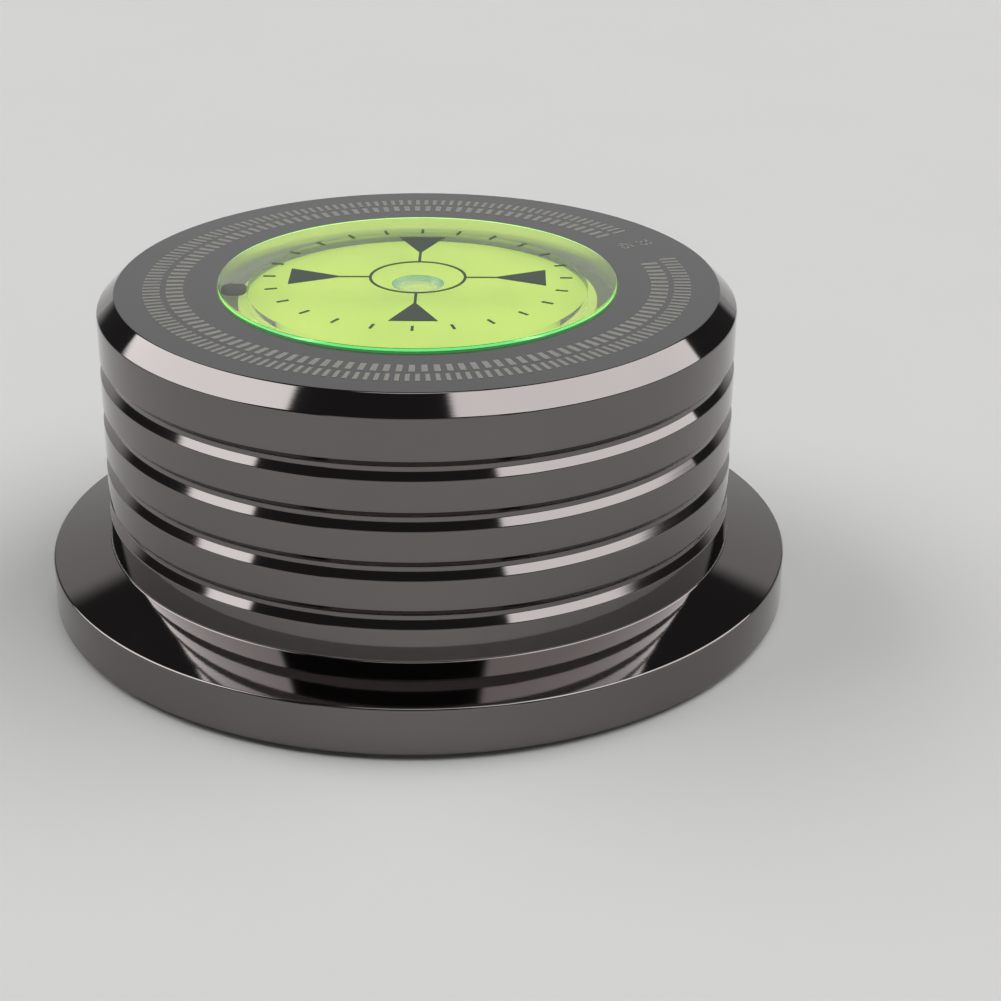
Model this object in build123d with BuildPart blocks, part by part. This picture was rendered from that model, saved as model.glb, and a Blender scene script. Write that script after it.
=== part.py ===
from build123d import *
import os
from math import radians, tan

# A record weight: a turned metal drum on a flange, with a bull's-eye level set in its top, a hole below
# for the turntable spindle and a soft pad for the record's label.
# All sizes are in millimetres. +Z is the turning axis, and the origin is the centre of the resting face.

# Widths from the level outwards: the flat top round it, the chamfer and the flange's overhang
level_diameter = 42.0
top_width = 10.75
top_chamfer = 1.9
flange_width = 6.35

# Heights of the turned body, from the flange upwards; the lands between the grooves share the rest
body_height = 34.2
rim_height = 5.1
flange_rise = 1.7
foot_land_height = 3.5
top_land_height = 4.3

# Grooves round the drum
groove_count = 4
groove_depth = 0.66
groove_root_width = 0.47
groove_flank_angle = 50.0

# Broken edges of the turned body
top_edge_break = 0.15
rim_edge_break = 0.2
under_edge_break = 0.3
foot_break = 0.2
pocket_edge_break = 0.15

# Spindle hole; the web is the metal left between it and the level's pocket
spindle_diameter = 7.2
spindle_clearance = 0.075
spindle_lead_in = 1.2
web_thickness = 6.0

# Soft pad in a recess of the underside
pad_thickness = 1.5
pad_stand_out = 0.5
pad_clearance = 0.1
pad_rim_width = 4.9
pad_hole_margin = 1.1

# Bull's-eye level
level_stand_out = 0.4
level_clearance = 0.1
level_edge_break = 0.25
level_wall = 3.0
window_thickness = 2.5
chamber_depth = 4.9
dome_rise = 0.8
base_thickness = 2.0
base_step = 1.0
base_clearance = 0.05
bubble_diameter = 5.5
bubble_depth = 1.0
plug_diameter = 3.0

# Sighting marks printed on the level's window
print_thickness = 0.05
line_width = 0.3
bubble_ring_margin = 2.25
tick_count = 24
tick_length = 1.3
tick_margin = 1.7
pointer_count = 4
pointer_length = 5.5
pointer_width = 5.0
pointer_margin = 1.5

# Radii
level_radius = level_diameter / 2
pocket_radius = level_radius + level_clearance
top_radius = level_radius + top_width
drum_radius = top_radius + top_chamfer
flange_radius = drum_radius + flange_width
recess_radius = flange_radius - pad_rim_width
pad_radius = recess_radius - pad_clearance
spindle_hole_radius = spindle_diameter / 2 + spindle_clearance
pad_hole_radius = spindle_hole_radius + spindle_lead_in + pad_hole_margin
chamber_radius = level_radius - level_wall
base_seat_radius = chamber_radius + base_step
bubble_radius = bubble_diameter / 2
bubble_ring_radius = bubble_radius + bubble_ring_margin
tick_radius = chamber_radius - tick_margin - tick_length
pointer_tip_radius = tick_radius - pointer_margin - pointer_length

# Heights of the body above the resting face
flange_bottom = pad_stand_out
recess_top = pad_thickness
rim_top = flange_bottom + rim_height
drum_foot = rim_top + flange_rise
top_face = flange_bottom + body_height
drum_top = top_face - top_chamfer
groove_width = groove_root_width + 2 * groove_depth * tan(radians(groove_flank_angle))
lowest_groove = drum_foot + foot_land_height + groove_width / 2
highest_groove = drum_top - top_land_height - groove_width / 2
groove_pitch = (highest_groove - lowest_groove) / (groove_count - 1)
groove_heights = [lowest_groove + number * groove_pitch for number in range(groove_count)]

# Heights of the level
level_height = base_thickness + chamber_depth + window_thickness
level_top = top_face + level_stand_out
level_bottom = level_top - level_height
base_top = level_bottom + base_thickness
roof_crown = base_top + chamber_depth
roof_edge = roof_crown - dome_rise
plug_height = (base_top + roof_edge) / 2
spindle_hole_top = level_bottom - web_thickness

os.makedirs("parts", exist_ok=True)


def corner(sketch, point):
    """The vertex of a sketch that stands at a point."""
    return sketch.vertices().sort_by_distance(point)[0]


# Body: one turned half-section with the grooves taken out of the drum
with BuildPart() as body:
    with BuildSketch(Plane.XZ) as body_section:
        with BuildLine():
            Polyline(
                (0, spindle_hole_top),
                (spindle_hole_radius, spindle_hole_top),
                (spindle_hole_radius, recess_top + spindle_lead_in),
                (spindle_hole_radius + spindle_lead_in, recess_top),
                (recess_radius, recess_top),
                (recess_radius, flange_bottom),
                (flange_radius, flange_bottom),
                (flange_radius, rim_top),
                (drum_radius, drum_foot),
                (drum_radius, drum_top),
                (top_radius, top_face),
                (pocket_radius, top_face),
                (pocket_radius, level_bottom),
                (0, level_bottom),
                close=True,
            )
        make_face()
        chamfer(corner(body_section, (flange_radius, rim_top)), rim_edge_break)
        chamfer(corner(body_section, (drum_radius, drum_foot)), foot_break)
        chamfer(corner(body_section, (top_radius, top_face)), top_edge_break)
        chamfer(corner(body_section, (flange_radius, flange_bottom)), under_edge_break)
        chamfer(corner(body_section, (pocket_radius, top_face)), pocket_edge_break)
        with Locations(*[(drum_radius, height) for height in groove_heights]):
            Polygon(
                (0, -groove_width / 2),
                (0, groove_width / 2),
                (-groove_depth, groove_root_width / 2),
                (-groove_depth, -groove_root_width / 2),
                align=None,
                mode=Mode.SUBTRACT,
            )
    revolve(axis=Axis.Z)
body.part.label = "body"
export_step(body.part, "parts/body.step")

# Pad: a flat ring that stands a little out of the recess under the flange
with BuildPart() as base_pad:
    with BuildSketch():
        Circle(pad_radius)
        Circle(pad_hole_radius, mode=Mode.SUBTRACT)
    extrude(amount=pad_thickness)
base_pad.part.label = "base_pad"
export_step(base_pad.part, "parts/base_pad.step")

# Chamber: the space for the liquid, a short cylinder whose roof is a shallow dome. The spheres of the dome
# and the bubble are turned so that their poles and seams lie outside the chamber.
dome_radius = (chamber_radius**2 + dome_rise**2) / (2 * dome_rise)
with BuildPart() as chamber:
    with BuildSketch(Plane.XY.offset(base_top)):
        Circle(chamber_radius)
    extrude(amount=chamber_depth)
    with Locations((0, 0, roof_crown - dome_radius)):
        Sphere(dome_radius, rotation=(0, 90, 0), mode=Mode.INTERSECT)

# Level cup: clear, open below, with a step for the base and a filling hole through the wall on the -X side
plug_plane = Plane((-level_radius, 0, plug_height), x_dir=(0, 1, 0), z_dir=(1, 0, 0))
with BuildPart() as level_cup:
    with BuildSketch(Plane.XY.offset(level_bottom)):
        Circle(level_radius)
    extrude(amount=level_height)
    chamfer(level_cup.faces().sort_by(Axis.Z)[-1].edges(), level_edge_break)
    add(chamber.part, mode=Mode.SUBTRACT)
    with BuildSketch(Plane.XY.offset(level_bottom)):
        Circle(base_seat_radius)
    extrude(amount=base_thickness, mode=Mode.SUBTRACT)
    with BuildSketch(plug_plane):
        Circle(plug_diameter / 2)
    extrude(amount=level_radius, mode=Mode.SUBTRACT)
level_cup.part.label = "level_cup"
export_step(level_cup.part, "parts/level_cup.step")

# Level base: the disc cemented into the step under the cup
with BuildPart() as level_base:
    with BuildSketch(Plane.XY.offset(level_bottom)):
        Circle(base_seat_radius - base_clearance)
    extrude(amount=base_thickness)
level_base.part.label = "level_base"
export_step(level_base.part, "parts/level_base.step")

# Fill plug: as long as the wall is thick, with both ends following the wall's curve
with BuildPart() as level_fill_plug:
    with BuildSketch(plug_plane):
        Circle(plug_diameter / 2)
    extrude(amount=level_radius)
    with BuildSketch(Plane.XY.offset(level_bottom)):
        Circle(level_radius)
        Circle(chamber_radius, mode=Mode.SUBTRACT)
    extrude(amount=level_height, mode=Mode.INTERSECT)
level_fill_plug.part.label = "level_fill_plug"
export_step(level_fill_plug.part, "parts/level_fill_plug.step")

# Liquid: fills the chamber, with the bubble as a round hollow under the crown of the dome
bubble_curve = (bubble_radius**2 + bubble_depth**2) / (2 * bubble_depth)
with BuildPart() as level_fluid:
    add(chamber.part)
    with Locations((0, 0, roof_crown - bubble_depth + bubble_curve)):
        Sphere(bubble_curve, rotation=(0, -90, 0), mode=Mode.SUBTRACT)
level_fluid.part.label = "level_fluid"
export_step(level_fluid.part, "parts/level_fluid.step")

# Sighting marks: a ring round the bubble, pointers with hairlines towards it, and ticks outside them
with BuildPart() as level_target:
    with BuildSketch(Plane.XY.offset(level_top)):
        with BuildLine():
            CenterArc((0, 0), bubble_ring_radius, 0, 360)
        trace(line_width=line_width)
        with PolarLocations(pointer_tip_radius, pointer_count):
            Polygon(
                (0, 0),
                (pointer_length, pointer_width / 2),
                (pointer_length, -pointer_width / 2),
                align=None,
            )
        with PolarLocations(bubble_ring_radius, pointer_count):
            hairline_length = pointer_tip_radius + pointer_length / 2 - bubble_ring_radius
            Rectangle(hairline_length, line_width, align=(Align.MIN, Align.CENTER))
        with PolarLocations(tick_radius, tick_count):
            Rectangle(tick_length, line_width, align=(Align.MIN, Align.CENTER))
    extrude(amount=print_thickness)
level_target.part.label = "level_target"
export_step(level_target.part, "parts/level_target.step")
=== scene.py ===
from math import cos, pi, radians, sin, sqrt, tan

import bpy
from mathutils import Matrix, Vector


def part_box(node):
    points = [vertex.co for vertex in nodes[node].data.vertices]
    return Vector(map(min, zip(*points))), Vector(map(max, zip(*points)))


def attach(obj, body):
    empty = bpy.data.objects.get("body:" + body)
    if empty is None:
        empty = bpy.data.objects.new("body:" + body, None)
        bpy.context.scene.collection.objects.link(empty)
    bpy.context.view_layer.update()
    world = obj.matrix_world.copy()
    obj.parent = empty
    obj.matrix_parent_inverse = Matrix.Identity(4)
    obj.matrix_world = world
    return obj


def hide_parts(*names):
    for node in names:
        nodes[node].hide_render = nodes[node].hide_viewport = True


# The looks of a record weight: a polished, grooved drum on a flange, with a clear bull's-eye level and two
# printed strobe rings in its top. Lengths are in millimetres up to the meshes, which are in metres.

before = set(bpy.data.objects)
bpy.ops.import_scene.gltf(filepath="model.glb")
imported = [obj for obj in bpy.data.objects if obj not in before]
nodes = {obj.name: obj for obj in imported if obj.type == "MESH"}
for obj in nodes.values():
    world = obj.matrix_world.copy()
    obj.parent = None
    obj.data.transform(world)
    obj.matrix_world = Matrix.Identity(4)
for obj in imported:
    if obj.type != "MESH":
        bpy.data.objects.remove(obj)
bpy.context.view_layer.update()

MM = 0.001

# Turned meshes: faces round the axis, the reach below which a point is on the axis, the decimals that tell
# two points apart, and the strips in a rounded edge and in a spherical cap
TURNS = 360
AXIS_REACH = 0.002
POINT_DECIMALS = 5
ROUNDING_STEPS = 4
CAP_STEPS = 24

# Sizes of the turned body that the frame's boxes don't give
top_width = 10.75
top_chamfer = 1.9
flange_width = 6.35
rim_height = 5.1
flange_rise = 1.7
foot_land_height = 3.5
top_land_height = 4.3
groove_count = 4
groove_depth = 0.66
groove_root_width = 0.47
groove_flank_angle = 50.0
pad_clearance = 0.1
level_clearance = 0.1
spindle_hole_radius = 3.675
spindle_lead_in = 1.2
web_thickness = 6.0

# Radii of the small roundings on the body's edges
top_edge_round = 0.3
chamfer_foot_round = 0.3
groove_edge_round = 0.22
groove_root_round = 0.15
foot_round = 0.2
rim_edge_round = 0.28
under_edge_round = 0.35
pocket_edge_round = 0.04

# Bull's-eye level; what touches is set into its neighbour or kept off it by a hair, so that no two faces lie
# in one place
window_thickness = 2.5
dome_rise = 0.8
bubble_diameter = 5.5
bubble_depth = 1.0
# Share of the bubble's reach that is left clear of its painted teal shade
bubble_clear_share = 0.5
level_edge_round = 0.1
plug_end_round = 0.9
plug_inset = 0.2
hair = 0.02
acrylic_index = 1.49
liquid_index = 1.4

# Strobe rings: a lamp on 50 Hz mains flashes 6000 times a minute
flashes_per_minute = 6000
level_margin = 3.6
track_width = 1.8
track_gap = 0.6
inner_track_speed = 45
outer_track_speed = 100 / 3
inner_mark_share = 0.5
outer_mark_share = 0.45
label_gap_start = 19.0
label_gap_angle = 19.0
ink_height = 0.02
numeral_height = 1.5
digit_share = 0.72

# Grain of moulded and printed surfaces: how far its roughness strays, and its depth as a share of its size
grain_roughness = 0.06
grain_depth_share = 0.05

# Camera of the reference view
camera_place = Vector((8.87, -226.31, 112.72))
camera_down_angle = 24.57
camera_roll = 0.358
focal_length = 81.17
sensor_width = 36.0

# How far the camera sees, and half the width of the floor, in metres
camera_reach = 100.0
floor_half_size = 30.0


# Frame sizes in millimetres
def box_mm(node):
    """Lowest and highest corner of a CAD node in millimetres."""
    low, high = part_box(node)
    return low / MM, high / MM


body_low, body_high = box_mm("body")
cup_low, cup_high = box_mm("level_cup")
plug_low, plug_high = box_mm("level_fill_plug")
pad_high = box_mm("base_pad")[1]
base_high = box_mm("level_base")[1]
liquid_high = box_mm("level_fluid")[1]

flange_radius = body_high.x
drum_radius = flange_radius - flange_width
top_radius = drum_radius - top_chamfer
recess_radius = pad_high.x + pad_clearance
level_radius = top_radius - top_width
pocket_radius = level_radius + level_clearance
flange_bottom = body_low.z
recess_top = pad_high.z
rim_top = flange_bottom + rim_height
drum_foot = rim_top + flange_rise
top_face = body_high.z
drum_top = top_face - top_chamfer

level_bottom = cup_low.z
level_top = cup_high.z
spindle_hole_top = level_bottom - web_thickness
chamber_radius = liquid_high.x
roof_crown = level_top - window_thickness
roof_edge = roof_crown - dome_rise
dome_radius = (chamber_radius**2 + dome_rise**2) / (2 * dome_rise)
dome_centre = roof_crown - dome_radius
seat_radius = base_high.x - hair
seat_height = base_high.z - hair
bubble_radius = bubble_diameter / 2


# Turned sections: a strip joins two points of a section and holds the surface normal at both
def left_normal(direction):
    """The normal on the left of a direction in the section."""
    return Vector((-direction.y, direction.x))


def rounding_strips(point, before, after, radius, finish):
    """The arc that rounds a corner between two directions, as strips, and what it takes off each side."""
    turn = before.angle_signed(after)
    cut = radius * tan(abs(turn) / 2)
    bulge = 1 if turn > 0 else -1
    centre = point - before * cut - left_normal(before) * radius * bulge
    normals = []
    for step in range(ROUNDING_STEPS + 1):
        turned = Matrix.Rotation(-turn * step / ROUNDING_STEPS, 2)
        normals.append(turned @ left_normal(before))
    points = [centre + normal * radius * bulge for normal in normals]
    strips = [
        (points[step], points[step + 1], normals[step], normals[step + 1], finish)
        for step in range(ROUNDING_STEPS)
    ]
    return strips, cut


def outline_strips(corners):
    """Strips along an outline of corners: each is a point, its rounding and the finish after it."""
    points = [Vector((radius, height)) for radius, height, rounding, finish in corners]
    sides = [(points[i + 1] - points[i]).normalized() for i in range(len(points) - 1)]
    strips = []
    start = points[0]
    for i in range(1, len(points)):
        rounding = corners[i][2]
        finish = corners[i - 1][3]
        arc, cut = [], 0.0
        if rounding and i < len(points) - 1:
            arc, cut = rounding_strips(points[i], sides[i - 1], sides[i], rounding, corners[i][3])
        end = points[i] - sides[i - 1] * cut
        normal = left_normal(sides[i - 1])
        strips.append((start, end, normal, normal, finish))
        strips.extend(arc)
        start = arc[-1][1] if arc else points[i]
    return strips


# Which cap of a sphere is meant, and whether its normals point out of the sphere or into it
UPPER, LOWER = 1, -1
OUTWARD, INWARD = 1, -1


def cap_strips(centre_height, radius, from_radius, to_radius, side, facing, finish):
    """Strips along the upper or lower cap of a sphere, from one distance to another from the axis."""
    rings = []
    for step in range(CAP_STEPS + 1):
        ring_radius = from_radius + (to_radius - from_radius) * step / CAP_STEPS
        away = Vector((ring_radius / radius, side * sqrt(1 - (ring_radius / radius) ** 2)))
        rings.append((Vector((0, centre_height)) + away * radius, away * facing))
    return [
        (rings[step][0], rings[step + 1][0], rings[step][1], rings[step + 1][1], finish)
        for step in range(CAP_STEPS)
    ]


def turned_piece(name, strips, materials, place=Matrix.Identity(4)):
    """A piece made by turning strips round the axis, with exact normals, and then put in its place."""
    vertices, faces, normals, finishes = [], [], [], []
    circle = [Vector((cos(2 * pi * i / TURNS), sin(2 * pi * i / TURNS))) for i in range(TURNS)]
    rings = {}

    def ring_of(point):
        """The vertices on one circle; a point on the axis has one vertex."""
        key = (round(point.x, POINT_DECIMALS), round(point.y, POINT_DECIMALS))
        if key not in rings:
            first = len(vertices)
            spokes = circle if point.x > AXIS_REACH else circle[:1]
            vertices.extend((c.x * point.x * MM, c.y * point.x * MM, point.y * MM) for c in spokes)
            rings[key] = [first + i % len(spokes) for i in range(TURNS)]
        return rings[key]

    for start, end, start_normal, end_normal, finish in strips:
        inner, outer = ring_of(start), ring_of(end)
        for i in range(TURNS):
            after = (i + 1) % TURNS
            corners = [
                (inner[i], circle[i], start_normal),
                (outer[i], circle[i], end_normal),
                (outer[after], circle[after], end_normal),
                (inner[after], circle[after], start_normal),
            ]
            if inner[i] == inner[after]:
                corners.pop()
            if outer[i] == outer[after]:
                corners.pop(2)
            faces.append([vertex for vertex, spoke, normal in corners])
            normals.extend((s.x * n.x, s.y * n.x, n.y) for vertex, s, n in corners)
            finishes.append(finish)
    mesh = bpy.data.meshes.new(name)
    mesh.from_pydata(vertices, [], faces)
    mesh.polygons.foreach_set("material_index", finishes)
    mesh.polygons.foreach_set("use_smooth", [True] * len(faces))
    mesh.normals_split_custom_set(normals)
    mesh.transform(place)
    return new_piece(name, mesh, materials)


def new_piece(name, mesh, materials):
    """An object of a mesh with its materials, which moves with the only body."""
    piece = bpy.data.objects.new(name, mesh)
    bpy.context.scene.collection.objects.link(piece)
    for material in materials:
        mesh.materials.append(material)
    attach(piece, "root")
    return piece


# Node helpers
def add_node(tree, kind, inputs=None, **properties):
    """A node with its properties set, and each input set to a value or linked to a socket."""
    node = tree.nodes.new(kind)
    for name, value in properties.items():
        setattr(node, name, value)
    for socket, value in (inputs or {}).items():
        if isinstance(value, bpy.types.NodeSocket):
            tree.links.new(value, node.inputs[socket])
        else:
            node.inputs[socket].default_value = value
    return node


def calculate(tree, operation, first, second=0.0):
    """The result of a math node."""
    return add_node(tree, "ShaderNodeMath", {0: first, 1: second}, operation=operation).outputs[0]


def reach_from_axis(tree, place):
    """How far a place or direction reaches sideways from the upright axis."""
    flat = add_node(tree, "ShaderNodeVectorMath", {0: place, 1: (1, 1, 0)}, operation="MULTIPLY").outputs[0]
    return add_node(tree, "ShaderNodeVectorMath", {0: flat}, operation="LENGTH").outputs["Value"]


def new_material(name, **settings):
    """A material with values on its shader's own sockets, which are named with _ for a space."""
    material = bpy.data.materials.new(name)
    material.use_nodes = True
    shader = material.node_tree.nodes["Principled BSDF"]
    for setting, value in settings.items():
        shader.inputs[setting.replace("_", " ")].default_value = value
    return material, material.node_tree, shader


def place_in_frame(tree):
    """The place of a surface point in the frame, in metres."""
    return add_node(tree, "ShaderNodeTexCoord").outputs["Object"]


def turned_place(tree):
    """Distance from the axis and height only, so that a texture runs round the axis as turning marks do."""
    place = place_in_frame(tree)
    height = add_node(tree, "ShaderNodeSeparateXYZ", {0: place}).outputs["Z"]
    inputs = {"X": reach_from_axis(tree, place), "Z": height}
    return add_node(tree, "ShaderNodeCombineXYZ", inputs).outputs[0]


def noise(tree, place, size_mm, detail=2.0):
    """Noise with features of about a size in millimetres, from 0 to 1."""
    inputs = {"Vector": place, "Scale": 1 / (size_mm * MM), "Detail": detail}
    return add_node(tree, "ShaderNodeTexNoise", inputs).outputs["Fac"]


def spread(tree, value, low, high):
    """A value from 0 to 1 spread between two numbers."""
    return add_node(tree, "ShaderNodeMapRange", {"Value": value, "To Min": low, "To Max": high}).outputs[0]


def blend(tree, value, first, second):
    """A colour between two colours."""
    inputs = {0: value, 6: (*first, 1), 7: (*second, 1)}
    return add_node(tree, "ShaderNodeMix", inputs, data_type="RGBA").outputs[2]


def bump(tree, height, depth_mm):
    """A normal bent by a height field of a depth in millimetres."""
    inputs = {"Height": height, "Distance": depth_mm * MM, "Strength": 1.0}
    return add_node(tree, "ShaderNodeBump", inputs).outputs[0]


# Materials
def polished_gunmetal():
    """Dark plated metal, polished, with the faintest turning marks and a cloudy sheen."""
    material, tree, shader = new_material("polished_gunmetal", Metallic=1.0)
    marks = noise(tree, turned_place(tree), size_mm=0.12)
    clouds = noise(tree, place_in_frame(tree), size_mm=9.0)
    colour = blend(tree, clouds, (0.169, 0.155, 0.152), (0.183, 0.167, 0.162))
    tree.links.new(colour, shader.inputs["Base Color"])
    tree.links.new(spread(tree, marks, low=0.035, high=0.075), shader.inputs["Roughness"])
    tree.links.new(bump(tree, marks, depth_mm=0.0006), shader.inputs["Normal"])
    return material


def satin_top():
    """The flat top: the same plating over a finely faced, satin surface."""
    material, tree, shader = new_material("satin_top", Metallic=1.0)
    marks = noise(tree, turned_place(tree), size_mm=0.08)
    clouds = noise(tree, place_in_frame(tree), size_mm=12.0)
    colour = blend(tree, clouds, (0.168, 0.168, 0.168), (0.180, 0.179, 0.178))
    tree.links.new(colour, shader.inputs["Base Color"])
    tree.links.new(spread(tree, marks, low=0.13, high=0.2), shader.inputs["Roughness"])
    tree.links.new(bump(tree, marks, depth_mm=0.001), shader.inputs["Normal"])
    return material


def bare_metal():
    """Pocket, hole and recess: plain machined metal without plating."""
    material, tree, shader = new_material("bare_metal", Metallic=1.0)
    marks = noise(tree, turned_place(tree), size_mm=0.15)
    colour = blend(tree, marks, (0.46, 0.47, 0.46), (0.54, 0.55, 0.54))
    tree.links.new(colour, shader.inputs["Base Color"])
    tree.links.new(spread(tree, marks, low=0.55, high=0.7), shader.inputs["Roughness"])
    tree.links.new(bump(tree, marks, depth_mm=0.004), shader.inputs["Normal"])
    return material


def clear_acrylic(name, index, tint, deeper_tint, frost=0.0):
    """Clear moulded acrylic with a faint tint and a little handling haze, or frosted."""
    material, tree, shader = new_material(name, IOR=index, Transmission_Weight=1.0)
    haze = noise(tree, place_in_frame(tree), size_mm=6.0)
    tree.links.new(blend(tree, haze, tint, deeper_tint), shader.inputs["Base Color"])
    tree.links.new(spread(tree, haze, low=frost, high=frost + 0.02), shader.inputs["Roughness"])
    return material


def painted_glow_edge():
    """The proud edge of the acrylic, with a painted green glow that brightens it."""
    # The emission is a painted glow: green light that the edge gives off under any lamp.
    material, tree, shader = new_material(
        "green_edge_painted_glow",
        IOR=acrylic_index,
        Transmission_Weight=1.0,
        Emission_Color=(0.16, 0.86, 0.24, 1),
        Emission_Strength=1.0,
    )
    haze = noise(tree, place_in_frame(tree), size_mm=6.0)
    colour = blend(tree, haze, (0.58, 0.30, 0.22), (0.62, 0.34, 0.26))
    tree.links.new(colour, shader.inputs["Base Color"])
    tree.links.new(spread(tree, haze, low=0.0, high=0.03), shader.inputs["Roughness"])
    return material


def bubble_wall():
    """The bubble's lower face, clear in the middle, with a painted teal shade towards its edge, where it is
    steepest.
    """
    material, tree, shader = new_material("bubble_wall", IOR=liquid_index, Roughness=0.0)
    rim_reach = bubble_radius * MM
    inputs = {
        "Value": reach_from_axis(tree, place_in_frame(tree)),
        "From Min": rim_reach * bubble_clear_share,
        "From Max": rim_reach,
    }
    # Painted shade: towards the edge the face turns teal and less clear, standing in for light bent away at
    # the steep face.
    painted_rim_shade = add_node(tree, "ShaderNodeMapRange", inputs, interpolation_type="SMOOTHSTEP").outputs[0]
    colour = blend(tree, painted_rim_shade, (0.96, 1.0, 0.94), (0.10, 0.62, 0.42))
    tree.links.new(colour, shader.inputs["Base Color"])
    tree.links.new(spread(tree, painted_rim_shade, low=1.0, high=0.45), shader.inputs["Transmission Weight"])
    return material


def lime_skin():
    """The liquid's colour, which light takes on where it enters and leaves the liquid."""
    material, tree, shader = new_material("lime_skin")
    swirl = noise(tree, place_in_frame(tree), size_mm=8.0)
    tint = blend(tree, swirl, (0.93, 0.985, 0.80), (0.95, 0.99, 0.84))
    skin = add_node(tree, "ShaderNodeBsdfTransparent", {"Color": tint})
    tree.links.new(skin.outputs[0], tree.nodes["Material Output"].inputs["Surface"])
    tree.nodes.remove(shader)
    return material


def lime_base():
    """Pale plastic disc that shows as the lime field, with a fine mottle and a painted glow that brightens
    it.
    """
    # The emission is a painted glow: lime light that the disc gives off under any lamp.
    material, tree, shader = new_material(
        "lime_base", Roughness=0.55, Emission_Color=(0.66, 1.0, 0.24, 1), Emission_Strength=0.35
    )
    mottle = noise(tree, place_in_frame(tree), size_mm=0.5, detail=4.0)
    colour = blend(tree, mottle, (0.84, 0.90, 0.24), (0.88, 0.94, 0.28))
    tree.links.new(colour, shader.inputs["Base Color"])
    tree.links.new(bump(tree, mottle, depth_mm=0.01), shader.inputs["Normal"])
    return material


def plain_plastic(name, first, second, roughness, grain_mm):
    """A moulded, cast or printed surface with a fine grain in colour and height."""
    material, tree, shader = new_material(name)
    grain = noise(tree, place_in_frame(tree), grain_mm, detail=3.0)
    sheen = spread(tree, grain, roughness - grain_roughness, roughness + grain_roughness)
    tree.links.new(blend(tree, grain, first, second), shader.inputs["Base Color"])
    tree.links.new(sheen, shader.inputs["Roughness"])
    tree.links.new(bump(tree, grain, grain_mm * grain_depth_share), shader.inputs["Normal"])
    return material


# Finish numbers in the order of each piece's materials
POLISHED, SATIN, BARE = 0, 1, 2
WINDOW, WALL, EDGE, WETTED, GREY_FOOT = 0, 1, 2, 3, 4
BUBBLE, SKIN = 0, 1
RUBBER = 0


# Body
groove_half_root = groove_root_width / 2
groove_half_mouth = groove_half_root + groove_depth * tan(radians(groove_flank_angle))


def groove_corners(height):
    """The four corners of a groove, from its upper edge downwards."""
    root_radius = drum_radius - groove_depth
    return [
        (drum_radius, height + groove_half_mouth, groove_edge_round, POLISHED),
        (root_radius, height + groove_half_root, groove_root_round, POLISHED),
        (root_radius, height - groove_half_root, groove_root_round, POLISHED),
        (drum_radius, height - groove_half_mouth, groove_edge_round, POLISHED),
    ]


def make_body():
    """Flange and drum, with the level's pocket above and the recess and spindle hole below."""
    lowest = drum_foot + foot_land_height + groove_half_mouth
    highest = drum_top - top_land_height - groove_half_mouth
    pitch = (highest - lowest) / (groove_count - 1)
    corners = [
        (0, level_bottom, 0, BARE),
        (pocket_radius, level_bottom, 0, BARE),
        (pocket_radius, top_face, pocket_edge_round, SATIN),
        (top_radius, top_face, top_edge_round, POLISHED),
        (drum_radius, drum_top, chamfer_foot_round, POLISHED),
    ]
    for number in range(groove_count):
        corners.extend(groove_corners(highest - number * pitch))
    corners += [
        (drum_radius, drum_foot, foot_round, POLISHED),
        (flange_radius, rim_top, rim_edge_round, POLISHED),
        (flange_radius, flange_bottom, under_edge_round, POLISHED),
        (recess_radius, flange_bottom, 0, BARE),
        (recess_radius, recess_top, 0, BARE),
        (spindle_hole_radius + spindle_lead_in, recess_top, 0, BARE),
        (spindle_hole_radius, recess_top + spindle_lead_in, 0, BARE),
        (spindle_hole_radius, spindle_hole_top, 0, BARE),
        (0, spindle_hole_top, 0, BARE),
    ]
    finishes = [polished_gunmetal(), satin_top(), bare_metal()]
    body = turned_piece("turned_body", outline_strips(corners), finishes)
    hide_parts("body")


# Level
def make_cup():
    """The clear cup; its inner faces hold the step between acrylic and liquid, or air over the bubble."""
    corners = [
        (0, level_top, 0, WINDOW),
        (level_radius, level_top, level_edge_round, WINDOW),
        (level_radius, level_top - level_edge_round - hair, 0, EDGE),
        (level_radius, top_face, 0, WALL),
        (level_radius, level_bottom + hair, 0, GREY_FOOT),
        (seat_radius, level_bottom + hair, 0, GREY_FOOT),
        (seat_radius, seat_height, 0, GREY_FOOT),
        (chamber_radius, seat_height, 0, WETTED),
        (chamber_radius, roof_edge, 0, WETTED),
    ]
    strips = outline_strips(corners)
    strips += cap_strips(dome_centre, dome_radius, chamber_radius, bubble_radius, UPPER, INWARD, WETTED)
    strips += cap_strips(dome_centre, dome_radius, bubble_radius, 0, UPPER, INWARD, WINDOW)
    wetted_index = acrylic_index / liquid_index
    finishes = [
        clear_acrylic("clear_window", acrylic_index, (0.99, 0.995, 0.98), (0.98, 0.99, 0.97)),
        clear_acrylic("clear_wall", acrylic_index, (0.93, 0.98, 0.92), (0.90, 0.97, 0.89), frost=0.24),
        painted_glow_edge(),
        clear_acrylic("wetted_wall", wetted_index, (0.99, 1.0, 0.97), (0.98, 0.99, 0.95)),
        # A grey, opaque finish on the cup's foot and seat faces, which makes the band round the foot of the
        # wall darker.
        plain_plastic("grey_foot", (0.44, 0.45, 0.48), (0.50, 0.51, 0.54), roughness=0.6, grain_mm=0.3),
    ]
    cup = turned_piece("clear_cup", strips, finishes)
    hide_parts("level_cup")


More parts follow.
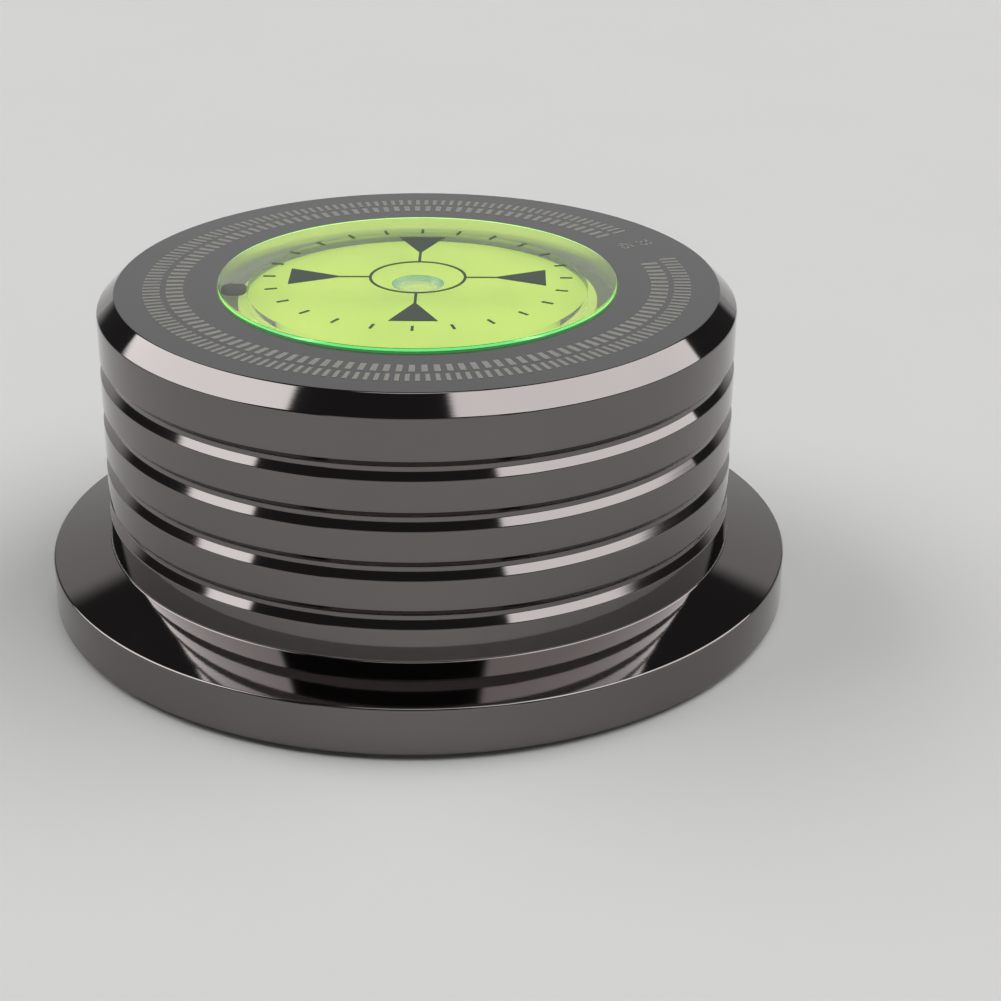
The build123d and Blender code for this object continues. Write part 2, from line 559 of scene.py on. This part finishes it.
def make_liquid():
    """The liquid in the cup, with the bubble as a hollow at its top."""
    liquid_radius = chamber_radius - hair
    bubble_curve = (bubble_radius**2 + bubble_depth**2) / (2 * bubble_depth)
    bubble_centre = roof_crown - bubble_depth + bubble_curve
    bubble = cap_strips(bubble_centre, bubble_curve, 0, bubble_radius, LOWER, INWARD, BUBBLE)
    skin = cap_strips(dome_centre - hair, dome_radius, bubble_radius, liquid_radius, UPPER, OUTWARD, SKIN)
    bubble_rim, skin_start, skin_end = bubble[-1][1], skin[0][0], skin[-1][1]
    step = outline_strips([(*bubble_rim, 0, SKIN), (*skin_start, 0, SKIN)])
    corners = [
        (*skin_end, 0, SKIN),
        (liquid_radius, seat_height, 0, SKIN),
        (0, seat_height, 0, SKIN),
    ]
    strips = bubble + step + skin + outline_strips(corners)
    liquid = turned_piece("lime_liquid", strips, [bubble_wall(), lime_skin()])
    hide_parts("level_fluid")


def make_fill_plug():
    """The plug of the filling hole, along X in the cup's wall, with rounded ends short of both faces."""
    middle = (plug_low + plug_high) / 2
    radius = plug_high.y
    half_length = plug_high.x - middle.x - plug_inset
    corners = [
        (0, half_length, 0, RUBBER),
        (radius, half_length, plug_end_round, RUBBER),
        (radius, -half_length, plug_end_round, RUBBER),
        (0, -half_length, 0, RUBBER),
    ]
    rubber = plain_plastic(
        "plug_rubber", (0.06, 0.066, 0.056), (0.08, 0.088, 0.075), roughness=0.6, grain_mm=0.2
    )
    place = Matrix.Translation(middle * MM) @ Matrix.Rotation(pi / 2, 4, "Y")
    plug = turned_piece("fill_plug", outline_strips(corners), [rubber], place)
    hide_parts("level_fill_plug")


# Print on the top face
def ring_point(radius, angle, height):
    """A point at an angle in degrees counter-clockwise from +X, in metres."""
    turn = radians(angle)
    return (radius * cos(turn) * MM, radius * sin(turn) * MM, height * MM)


def make_strobe_marks(ink):
    """Two rings with one raised mark for every lamp flash in a turn, and a gap for the speed numbers."""
    inner_radius = level_radius + level_margin
    outer_radius = inner_radius + track_width + track_gap
    tracks = (
        (inner_radius, inner_track_speed, inner_mark_share),
        (outer_radius, outer_track_speed, outer_mark_share),
    )
    mark_faces = [(3, 2, 1, 0), (4, 5, 6, 7)]
    mark_faces += [(i, (i + 1) % 4, (i + 1) % 4 + 4, i + 4) for i in range(4)]
    vertices, faces = [], []
    for start_radius, speed, share in tracks:
        end_radius = start_radius + track_width
        pitch = 360 / round(flashes_per_minute / speed)
        for number in range(int((360 - label_gap_angle) / pitch)):
            middle = label_gap_start + label_gap_angle + number * pitch
            start_angle = middle - pitch * share / 2
            end_angle = middle + pitch * share / 2
            first = len(vertices)
            for height in (top_face, top_face + ink_height):
                vertices.append(ring_point(start_radius, start_angle, height))
                vertices.append(ring_point(end_radius, start_angle, height))
                vertices.append(ring_point(end_radius, end_angle, height))
                vertices.append(ring_point(start_radius, end_angle, height))
            faces.extend([first + corner for corner in face] for face in mark_faces)
    mesh = bpy.data.meshes.new("strobe_marks")
    mesh.from_pydata(vertices, [], faces)
    marks = new_piece("strobe_marks", mesh, [ink])
    for text, start_radius in (("45", inner_radius), ("33", outer_radius)):
        make_numeral("speed_" + text, text, start_radius + track_width / 2, ink)


def make_numeral(name, text, radius, ink):
    """A speed number in the gap of a strobe ring, with its top outwards."""
    curve = bpy.data.curves.new(name + "_outline", "FONT")
    curve.body = text
    curve.size = numeral_height * MM / digit_share
    curve.align_x = "CENTER"
    curve.align_y = "CENTER"
    curve.extrude = ink_height * MM / 2
    writer = bpy.data.objects.new(name + "_outline", curve)
    mesh = bpy.data.meshes.new_from_object(writer)
    bpy.data.objects.remove(writer)
    angle = label_gap_start + label_gap_angle / 2
    place = Matrix.Translation(ring_point(radius, angle, top_face + ink_height / 2))
    mesh.transform(place @ Matrix.Rotation(radians(angle - 90), 4, "Z"))
    numeral = new_piece(name, mesh, [ink])


def paint_node(node, material):
    """A CAD node shown as it is, with a better material."""
    mesh = nodes[node].data
    mesh.materials.clear()
    mesh.materials.append(material)


# The object
pale_ink = plain_plastic("pale_ink", (0.215, 0.21, 0.19), (0.245, 0.24, 0.215), roughness=0.6, grain_mm=0.2)
slate_ink = plain_plastic(
    "slate_ink", (0.035, 0.05, 0.038), (0.05, 0.07, 0.052), roughness=0.45, grain_mm=0.15
)
pad_foam = plain_plastic(
    "pad_foam", (0.012, 0.012, 0.012), (0.03, 0.03, 0.03), roughness=0.85, grain_mm=0.35
)

make_body()
make_cup()
make_liquid()
make_fill_plug()
make_strobe_marks(pale_ink)
paint_node("level_base", lime_base())
paint_node("level_target", slate_ink)
paint_node("base_pad", pad_foam)


# Floor
def make_floor():
    """A wide pale floor under the object."""
    mesh = bpy.data.meshes.new("floor")
    quarters = [(-1, -1), (1, -1), (1, 1), (-1, 1)]
    corners = [(x * floor_half_size, y * floor_half_size, 0) for x, y in quarters]
    mesh.from_pydata(corners, [], [(0, 1, 2, 3)])
    floor = bpy.data.objects.new("floor", mesh)
    bpy.context.scene.collection.objects.link(floor)
    material, tree, shader = new_material("pale_floor", Roughness=0.9, Specular_IOR_Level=0.1)
    grain = noise(tree, place_in_frame(tree), size_mm=40.0)
    colour = blend(tree, grain, (0.58, 0.58, 0.575), (0.60, 0.60, 0.595))
    tree.links.new(colour, shader.inputs["Base Color"])
    mesh.materials.append(material)


# Studio light: a softbox on each side, a small round one straight above, pale boards behind, in front and low
# at both sides, and dark between them. A softbox has its bearing clockwise from +Y, its height above the
# floor and its turn in degrees, the tangents of half its length and width, and its level.
left_softbox = {
    "bearing": -73.2,
    "height": 44.7,
    "turn": -20.3,
    "half_length": 0.506,
    "half_width": 0.28,
    "level": 3.5,
}
right_softbox = {
    "bearing": 83.6,
    "height": 52.9,
    "turn": 25.9,
    "half_length": 0.679,
    "half_width": 0.362,
    "level": 3.0,
}
softbox_edge = 0.03

# The other lights are limited by parts of a direction: how far it falls short of straight up, how far it
# rises and how far sideways it points
overhead_reach = 0.02
overhead_edge = 0.006
overhead_level = 2.4
board_top = 0.5
board_reach = 0.5
board_edge = 0.03
board_level = 0.48
side_board_start = 0.47
side_board_slope = 0.62
side_board_level = 0.6
dark_level = 0.045


def dot(tree, direction, axis):
    """How far a direction reaches along an axis."""
    inputs = {0: direction, 1: axis}
    return add_node(tree, "ShaderNodeVectorMath", inputs, operation="DOT_PRODUCT").outputs["Value"]


def below(tree, value, limit, softness):
    """One where a value is below a limit and nought above it, with a soft change between."""
    gap = calculate(tree, "SUBTRACT", value, limit)
    inputs = {"Value": gap, "From Min": softness, "From Max": -softness}
    return add_node(tree, "ShaderNodeMapRange", inputs, interpolation_type="SMOOTHSTEP").outputs[0]


def softbox(tree, direction, bearing, height, turn, half_length, half_width, level):
    """The light of a softbox by direction."""
    bearing, height, turn = radians(bearing), radians(height), radians(turn)
    middle = Vector((sin(bearing) * cos(height), cos(bearing) * cos(height), sin(height)))
    sideways = middle.cross(Vector((0, 0, 1))).normalized()
    upwards = sideways.cross(middle)
    along = cos(turn) * sideways + sin(turn) * upwards
    across = cos(turn) * upwards - sin(turn) * sideways
    depth = dot(tree, direction, middle)
    lengthways = calculate(tree, "ABSOLUTE", dot(tree, direction, along / half_length))
    crossways = calculate(tree, "ABSOLUTE", dot(tree, direction, across / half_width))
    reach = calculate(tree, "MAXIMUM", lengthways, crossways)
    inside = below(tree, calculate(tree, "DIVIDE", reach, depth), 1.0, softbox_edge)
    facing = calculate(tree, "GREATER_THAN", depth, 0.0)
    return calculate(tree, "MULTIPLY", calculate(tree, "MULTIPLY", inside, facing), level)


def make_world():
    """The studio as a world: light by direction alone, so that the floor is lit evenly."""
    world = bpy.data.worlds.new("studio")
    bpy.context.scene.world = world
    world.use_nodes = True
    tree = world.node_tree
    direction = add_node(tree, "ShaderNodeTexCoord").outputs["Generated"]
    parts = add_node(tree, "ShaderNodeSeparateXYZ", {0: direction})
    height = parts.outputs["Z"]
    across = calculate(tree, "ABSOLUTE", parts.outputs["X"])
    sideways = calculate(tree, "DIVIDE", across, reach_from_axis(tree, direction))
    overhead = below(tree, calculate(tree, "SUBTRACT", 1.0, height), overhead_reach, overhead_edge)
    low = below(tree, height, board_top, board_edge)
    board = calculate(tree, "MULTIPLY", low, below(tree, sideways, board_reach, board_edge))
    beyond = calculate(tree, "SUBTRACT", sideways, side_board_start)
    side_board = below(tree, height, calculate(tree, "MULTIPLY", beyond, side_board_slope), board_edge)

    level = dark_level
    for light in (
        softbox(tree, direction, **left_softbox),
        softbox(tree, direction, **right_softbox),
        calculate(tree, "MULTIPLY", overhead, overhead_level),
        calculate(tree, "MULTIPLY", board, board_level),
        calculate(tree, "MULTIPLY", side_board, side_board_level),
    ):
        level = calculate(tree, "ADD", light, level)
    tree.links.new(level, tree.nodes["Background"].inputs["Color"])


def make_camera():
    """The camera of the reference view."""
    data = bpy.data.cameras.new("camera")
    data.lens = focal_length
    data.sensor_width = sensor_width
    data.clip_end = camera_reach
    camera = bpy.data.objects.new("camera", data)
    bpy.context.scene.collection.objects.link(camera)
    tilt = Matrix.Rotation(radians(90 - camera_down_angle), 4, "X")
    roll = Matrix.Rotation(radians(camera_roll), 4, "Z")
    camera.matrix_world = Matrix.Translation(camera_place * MM) @ tilt @ roll
    bpy.context.scene.camera = camera


make_floor()
make_world()
make_camera()
bpy.context.scene.view_settings.view_transform = "Standard"

bpy.context.view_layer.update()
